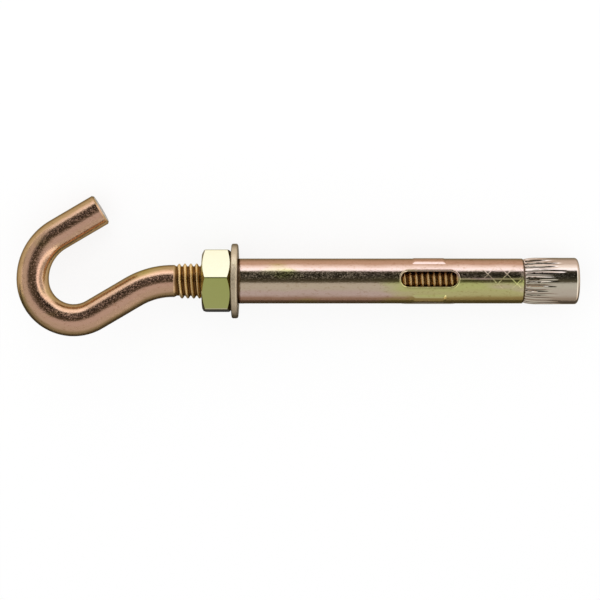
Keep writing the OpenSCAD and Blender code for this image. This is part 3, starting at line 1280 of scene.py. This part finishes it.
@dataclass
class ConeNut(Piece):
    """The ribbed cone nut on the shank's end."""

    largest: float = 9.9
    length: float = 11.69
    starts: float = 60.4
    face_d: float = 8.8
    shoulder: float = 3.0
    shoulder_steps: int = 16
    nose: float = 0.5
    nose_d: float = 8.12
    edge: float = 0.7
    bore: float = 7.6
    sink: float = 0.4
    row: float = 0.3
    grooves: int = 30
    groove_faces: int = 16
    groove_len: float = 7.4
    groove_spread: float = 1.6
    groove_half: float = 0.29
    groove_depth: float = 0.33
    groove_rise: Point = (-0.4, 0.8)
    groove_sway: float = 0.05
    skin: float = 0.02
    plain_from: float = 9.4

    LENGTH_WAVE = (2.4, 0.9, 1.7)
    DEPTH_WAVE = (0.8, 0.3, 5.1)
    SWAY_WAVE = (0.8, 3.7)

    def section(self) -> list[Point]:
        """Draw the half section from the nose to the far end and back through the bore.

        Returns:
            Its points.
        """
        out, low, hole = self.largest / 2, self.face_d / 2, self.bore / 2
        shares = [i / self.shoulder_steps for i in range(self.shoulder_steps + 1)]
        rise = [(self.shoulder * i, low + (out - low) * math.sqrt(1 - (1 - i) ** 2)) for i in shares]
        body = [(x, out) for x in spread(self.shoulder, self.length - self.edge, self.row)]
        return [(-self.nose, hole), (-self.nose, self.nose_d / 2), *rise, *body,
                *arc(self.length - self.edge, out - self.edge, self.edge, 90, 0, 8),
                (self.length, hole + self.sink), (self.length - self.sink, hole)]

    def groove(self, index: int, along: float, across: float) -> float:
        """The depth of one groove, which has a length, depth and sway of its own.

        Args:
            index: The groove's number around the nut.
            along: A place along it, from the nut's face.
            across: The distance from its middle.

        Returns:
            How far a point there is sunk.
        """
        step, swing, beat = self.LENGTH_WAVE
        run = self.groove_len - self.groove_spread * math.sin(index * step + swing * math.sin(index * beat))
        fade = smoothstep(*self.groove_rise, along) * max(0.0, 1 - (max(0.0, along) / run) ** 2)
        bend, start = self.SWAY_WAVE
        across += self.groove_sway * math.sin(bend * along + start * index)
        least, swing, step = self.DEPTH_WAVE
        depth = self.groove_depth * (least + swing * math.sin(index * step))
        return depth * fade * max(0.0, 1 - (across / self.groove_half) ** 2)

    def build(self) -> bpy.types.Object:
        """Turn the cone nut and press its grooves.

        Returns:
            The dressed cone nut.
        """
        cone = turn_ring("cone", self.section(), self.groove_faces * self.grooves)
        pitch = 2 * math.pi / self.grooves

        def grooved(point: Vector) -> Vector:
            """Sink a point that lies in a groove.

            Args:
                point: A point of the plain nut.

            Returns:
                Its place on the grooved nut.
            """
            out = math.hypot(point.y, point.z)
            if out < self.face_d / 2 - self.skin or point.x > self.plain_from:
                return point
            turn = math.atan2(point.y, point.z)
            index = round(turn / pitch)
            sunk = out - self.groove(index, point.x, (turn - index * pitch) * out)
            return Vector((point.x, point.y * sunk / out, point.z * sunk / out))

        move_points(cone, grooved)
        cone.data.transform(Matrix.Translation((self.starts, 0, 0)))
        close_up(cone)
        return self.place(cone, smooth=40)


@dataclass(frozen=True)
class ShadeCard:
    """A dull sheet on the floor, seen only in the metal, that darkens the metal's edges: painted shade
    standing for the floor in the anchor's own shadow. It is placed from the anchor's lower side.
    """

    name: str
    low: Point
    high: Point
    lift: float
    level: float


@dataclass
class Studio:
    """The pale floor, the soft light around the anchor and the camera."""

    axes: AnchorAxes
    middle: Point = (13.13, -4.04)
    distance: float = 390.0
    view_mm: float = 127.66
    sensor: float = 36.0
    near_mm: float = 5.0
    floor_mm: float = 4000.0
    floor_grey: float = 0.92
    floor_glow: float = 0.82
    tunnel_mm: float = 330.0
    tunnel_run: float = 2400.0
    tunnel_sides: int = 96
    tunnel_stops: Section = (
        (-180, 0.3), (-137, 0.31), (-114, 0.43), (-97, 0.5), (-70, 0.43), (-25, 0.46), (-13, 0.43),
        (-6, 0.085), (4, 0.05), (15, 0.022), (25, 0.01), (36, 0.012), (49, 0.06), (55, 1.12), (75, 1.12),
        (97, 0.9), (180, 0.5))
    tunnel_ends: tuple[tuple[float, ...], ...] = (
        (1.0, 0.155, 0.2, 1.1), (1.0, 0.3, 0.45, 0.4), (-1.0, 0.16, 0.34, 0.45))
    dim_tint: Triple = (1.0, 0.93, 0.68)
    dim_levels: Point = (0.1, 0.4)
    bright_tint: Triple = (1.0, 1.06, 1.16)
    bright_levels: Point = (1.0, 1.1)
    # Dull sheets seen only in the metal: painted shade of the floor near the anchor, in its reflections.
    shade_cards: tuple[ShadeCard, ...] = (ShadeCard("floor_shadow_card", (-400.0, -240.0), (400.0, -1.0), 0.3, 0.2),
                               ShadeCard("nut_shadow_card", (-12.5, -1.5), (0.5, 3.6), 0.5, 0.05))
    lamp_at: Triple = (-60.0, 260.0, 420.0)
    lamp_aim: Triple = (10.0, 0.0, 0.0)
    lamp_mm: float = 350.0
    lamp_power: float = 0.6

    @staticmethod
    def _only_mirrored(obj: bpy.types.Object) -> None:
        """Show a thing only where the metal mirrors it.

        Args:
            obj: A panel, or a sheet of painted shade.
        """
        for hidden in ("visible_camera", "visible_diffuse", "visible_shadow", "visible_transmission"):
            setattr(obj, hidden, False)

    def floor(self) -> None:
        """Lay a pale floor under the anchor that keeps its soft shadow."""
        clear_selection()
        bpy.ops.mesh.primitive_plane_add(size=self.floor_mm * MM, location=(0, 0, CAD_BOX[0][2]))
        floor = bpy.context.object
        floor.name = "pale_floor"
        material, sheet = new_material(floor.name)
        matt = sheet.add("ShaderNodeBsdfDiffuse")
        matt.inputs["Color"].default_value = grey(self.floor_grey)
        glow = sheet.add("ShaderNodeEmission")
        path = sheet.add("ShaderNodeLightPath")
        seen = path.outputs["Is Camera Ray"]
        for ray in ("Is Glossy Ray", "Is Transmission Ray"):
            seen = sheet.math("MAXIMUM", seen, path.outputs[ray])
        mix = sheet.add("ShaderNodeMixShader")
        sheet.feed(mix.inputs[0], sheet.times(seen, self.floor_glow))
        sheet.feed(mix.inputs[1], matt.outputs[0])
        sheet.feed(mix.inputs[2], glow.outputs[0])
        show(sheet, mix.outputs[0])
        floor.data.materials.append(material)

    def panel_colour(self, level: float) -> Colour:
        """The colour of a panel: brown where it is dim, a little blue where it is brightest.

        Args:
            level: How bright the panel is.

        Returns:
            Its colour.
        """
        plain, cool = smoothstep(*self.dim_levels, level), smoothstep(*self.bright_levels, level)
        shares = [dim + (1 - dim) * plain + (bright - 1) * cool
                  for dim, bright in zip(self.dim_tint, self.bright_tint)]
        return (*(level * share for share in shares), 1.0)

    def tunnel(self) -> None:
        """Hang a light tunnel around the shank for the metal to mirror: pale panels and one dark flag."""
        clear_selection()
        bpy.ops.mesh.primitive_cylinder_add(
            vertices=self.tunnel_sides, radius=self.tunnel_mm, depth=self.tunnel_run,
            end_fill_type="NOTHING", rotation=ALONG_SHANK)
        tunnel = settle()
        tunnel.name = "light_tunnel"
        tunnel.data.transform(self.axes.to_row)
        material, sheet = new_material(tunnel.name)
        _, split = sheet.on_axes(self.axes, 1.0)
        angle = sheet.math("ARCTAN2", split.outputs["Y"], split.outputs["Z"])
        ramp = sheet.add("ShaderNodeValToRGB")
        sheet.feed(ramp.inputs[0], sheet.math("ADD", sheet.math("DIVIDE", angle, 2 * math.pi), 0.5))
        stops = ramp.color_ramp.elements
        for index, (degrees, level) in enumerate(self.tunnel_stops):
            place = degrees / 360 + 0.5
            stop = stops[index] if index < 2 else stops.new(place)
            stop.position = place
            stop.color = self.panel_colour(level)
        lit = ramp.outputs["Color"]
        for way, low, high, level in self.tunnel_ends:
            past = sheet.ramp(sheet.times(split.outputs["X"], way), low, high)
            lit = sheet.blend(past, lit, grey(level))
        glow = sheet.add("ShaderNodeEmission")
        sheet.feed(glow.inputs["Color"], lit)
        show(sheet, glow.outputs[0])
        tunnel.data.materials.append(material)
        self._only_mirrored(tunnel)

    def lay_shade_card(self, shade_card: ShadeCard) -> None:
        """Lay a dull sheet of painted shade on the floor.

        Args:
            shade_card: Its place and brightness.
        """
        clear_selection()
        bpy.ops.mesh.primitive_plane_add(size=1.0)
        laid = bpy.context.object
        laid.name = shade_card.name
        for vertex in laid.data.vertices:
            x = shade_card.high[0] if vertex.co.x > 0 else shade_card.low[0]
            y = shade_card.high[1] if vertex.co.y > 0 else shade_card.low[1]
            vertex.co = (x * MM, CAD_BOX[0][1] + y * MM, CAD_BOX[0][2] + shade_card.lift * MM)
        material, sheet = new_material(shade_card.name)
        glow = sheet.add("ShaderNodeEmission")
        glow.inputs["Color"].default_value = grey(shade_card.level)
        show(sheet, glow.outputs[0])
        laid.data.materials.append(material)
        self._only_mirrored(laid)

    def light(self) -> None:
        """Fill the room with an even pale light and one soft lamp above."""
        world = bpy.data.worlds.new("pale_room")
        world.use_nodes = True
        world.node_tree.nodes["Background"].inputs["Color"].default_value = grey(1.0)
        world.node_tree.nodes["Background"].inputs["Strength"].default_value = 1.0
        bpy.context.scene.world = world
        clear_selection()
        bpy.ops.object.light_add(type="AREA", location=self.axes.point(*self.lamp_at))
        lamp = bpy.context.object
        lamp.name = "soft_lamp"
        lamp.data.size = self.lamp_mm * MM
        lamp.data.energy = self.lamp_power
        aim = self.axes.point(*self.lamp_aim) - lamp.location
        lamp.rotation_euler = aim.to_track_quat("-Z", "Y").to_euler()

    def camera(self) -> None:
        """Set the camera square to the hook's plane."""
        clear_selection()
        bpy.ops.object.camera_add(location=self.axes.point(*self.middle, self.distance))
        camera = bpy.context.object
        camera.name = "camera"
        camera.rotation_euler = self.axes.turn.to_euler()
        camera.data.sensor_width = self.sensor
        camera.data.lens = self.sensor * self.distance / self.view_mm
        camera.data.clip_start = self.near_mm * MM
        bpy.context.scene.camera = camera

    def build(self) -> None:
        """Set up the whole studio."""
        bpy.context.scene.view_settings.view_transform = "Standard"
        self.floor()
        self.tunnel()
        # Painted shade of the floor, seen only in the metal's reflections.
        for shade_card in self.shade_cards:
            self.lay_shade_card(shade_card)
        self.light()
        self.camera()


# The side and rim colours below are painted shade along the edges.
ROD = Plating("rod_plating", face=(249, 211, 182), tilt=(246, 211, 176), side=(184, 160, 116),
              rim=(108, 90, 62), dull=0.09, lines=0.6, pits=2.0, bump=0.25,
              bloom=(248, 250, 200), threaded_with_painted_shade=True)
# The nut's cream tilt colour, set against its olive face colour and moved by the slant shift, is a painted
# highlight on the flats that reach that slant.
NUT = Plating("nut_plating", face=(209, 214, 127), tilt=(253, 247, 214), side=(188, 179, 124),
              rim=(110, 102, 76), dull=0.14, lines=0.3, pits=0.4, bump=0.15,
              shift=-0.055, drift=0.1)
WASHER = Plating("washer_plating", face=(240, 227, 196), tilt=(234, 221, 190), side=(206, 192, 163),
                 rim=(120, 108, 90), dull=0.36, lines=0.3, pits=1.8, bump=0.35, drift=0.5)
SLEEVE = Plating("sleeve_plating", face=(246, 237, 208), tilt=(250, 231, 216), side=(190, 156, 129),
                 rim=(122, 108, 86), dull=0.06, lines=0.7, pits=1.3, bump=0.18,
                 bloom=(246, 255, 190), scored_with_joint_shade=True)
CONE = Plating("cone_plating", face=(249, 236, 219), tilt=(248, 230, 215), side=(198, 174, 155),
               rim=(126, 112, 98), dull=0.05, lines=0.6, pits=0.9, bump=0.17, drift=0.2)


def main() -> None:
    """Build every piece of the anchor, then the studio around it."""
    logging.basicConfig(level=logging.INFO, format="%(message)s")
    axes = AnchorAxes.from_record(frame["record"])
    groups = PlatingGroups(axes)
    HookBolt(axes, Body.BOLT, "hook_bolt", ROD.build(groups)).build()
    HexNut(axes, Body.NUT, "hex_nut", NUT.build(groups)).build()
    Washer(axes, Body.SLEEVE, "washer", WASHER.build(groups)).build()
    Sleeve(axes, Body.SLEEVE, "sleeve", SLEEVE.build(groups)).build()
    ConeNut(axes, Body.BOLT, "cone_nut", CONE.build(groups)).build()
    Studio(axes).build()


if __name__ == "__main__":
    main()
